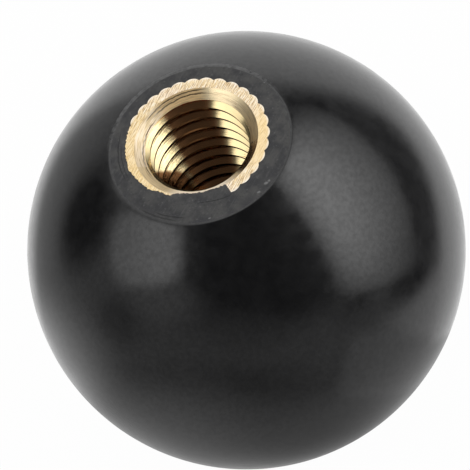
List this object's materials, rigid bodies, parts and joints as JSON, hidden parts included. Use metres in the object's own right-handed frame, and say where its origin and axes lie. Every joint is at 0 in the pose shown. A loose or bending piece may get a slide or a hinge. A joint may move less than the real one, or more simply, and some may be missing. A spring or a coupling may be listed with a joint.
{
  "type": "ball knob",
  "caption": "Black moulded ball knob with a ground flat and a knurled brass insert, tapped blind, that screws onto the end of a lever.",
  "frame": {"origin": "middle of the mouth, on the thread's axis, in the plane of the ground flat", "axes": "+Z along the thread's axis and out of the mouth; +X and +Y in the plane of the flat, and the picture looks down along +Y"},
  "size_m": [0.032, 0.032, 0.0306],
  "materials": {
    "phenolic": "satin",
    "brass": "satin"
  },
  "bodies": {
    "root": {"ball": "phenolic", "threaded_insert": "brass"}
  },
  "joints": []
}
